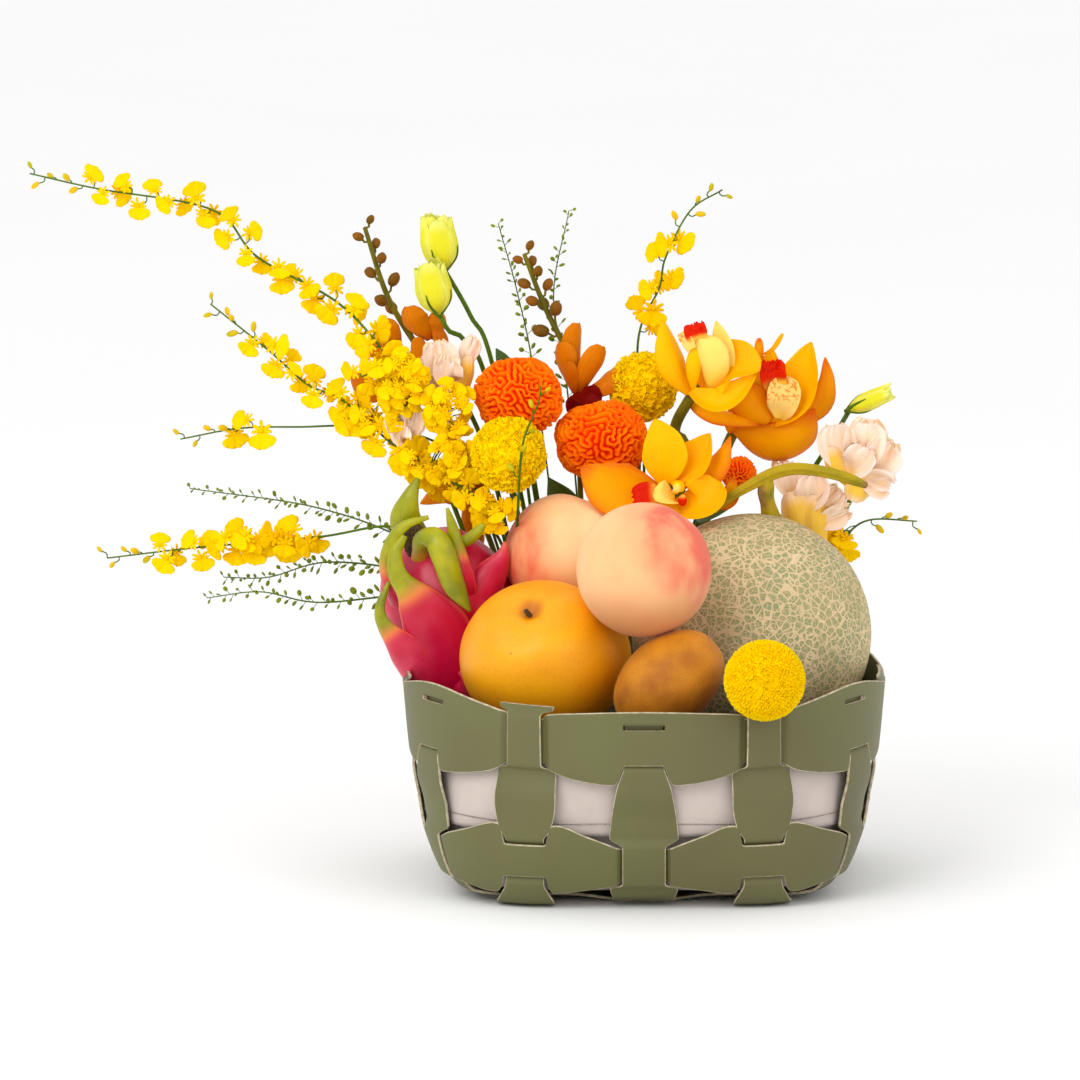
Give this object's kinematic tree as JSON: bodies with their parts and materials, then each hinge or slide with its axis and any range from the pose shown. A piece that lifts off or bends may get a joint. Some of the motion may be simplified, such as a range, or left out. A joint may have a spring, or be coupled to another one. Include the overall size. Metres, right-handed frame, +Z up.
{
  "type": "gift hamper basket",
  "caption": "Woven leather-strap basket with a folded cloth liner, filled with a melon, pear, peaches, dragon fruit and kiwi in front of tall yellow and orange cut flowers.",
  "frame": {"origin": "centre of the underside, where the middle strap rests on the floor", "axes": "+Z up, the front of the basket faces -Y, +X to the right seen from the front"},
  "size_m": [0.5759, 0.3406, 0.454],
  "materials": {
    "strap_leather": "matte, cut edges paler",
    "liner_cloth": "plain weave, matte",
    "packing_fill": "dark, crumpled",
    "melon_rind": "raised net over green, matte",
    "melon_stalk": "dry, matte",
    "kiwi_skin": "fuzzy, matte",
    "pear_skin": "satin",
    "peach_skin": "downy, matte",
    "dragon_skin": "satin",
    "mum_petals": "matte",
    "celosia_bloom": "velvety",
    "orchid_gold": "waxy satin",
    "orchid_bronze": "waxy satin",
    "cream_petals": "soft, matte",
    "green_bud": "matte",
    "dancing_orchid": "matte",
    "green_sprig": "matte",
    "leaf_green": "matte"
  },
  "bodies": {
    "root": {"ball_flower": "mum_petals", "band_low": "strap_leather", "band_top": "strap_leather", "bud_high": "green_bud", "bud_low": "green_bud", "bud_right": "green_bud", "celosia_left": "celosia_bloom", "celosia_middle": "celosia_bloom", "celosia_right": "celosia_bloom", "chrysanthemum_left": "mum_petals", "chrysanthemum_right": "mum_petals", "cream_left_high": "cream_petals", "cream_left_low": "cream_petals", "cream_right_high": "cream_petals", "cream_right_low": "cream_petals", "dancing_spray_low": "dancing_orchid", "dancing_spray_middle": "dancing_orchid", "dancing_spray_rear": "dancing_orchid", "dancing_spray_right": "dancing_orchid", "dancing_spray_top": "dancing_orchid", "dancing_spray_upper": "dancing_orchid", "dragon_fruit": "dragon_skin", "green_sprig_left": "green_sprig", "green_sprig_rear_left": "green_sprig", "green_sprig_rear_right": "green_sprig", "kiwi": "kiwi_skin", "leaf_middle": "leaf_green", "leaf_rear": "leaf_green", "leaf_right": "leaf_green", "liner": "liner_cloth", "melon": "melon_rind", "melon_stalk": "melon_stalk", "orchid_bronze_left": "orchid_bronze", "orchid_bronze_low": "orchid_bronze", "orchid_bronze_middle": "orchid_bronze", "orchid_gold_front": "orchid_gold", "orchid_gold_high": "orchid_gold", "orchid_gold_right": "orchid_gold", "packing": "packing_fill", "peach_back": "peach_skin", "peach_front": "peach_skin", "pear": "pear_skin", "strip_front_back_left": "strap_leather", "strip_front_back_middle": "strap_leather", "strip_front_back_right": "strap_leather", "strip_left_right_front": "strap_leather", "strip_left_right_middle": "strap_leather", "strip_left_right_rear": "strap_leather"}
  },
  "joints": []
}
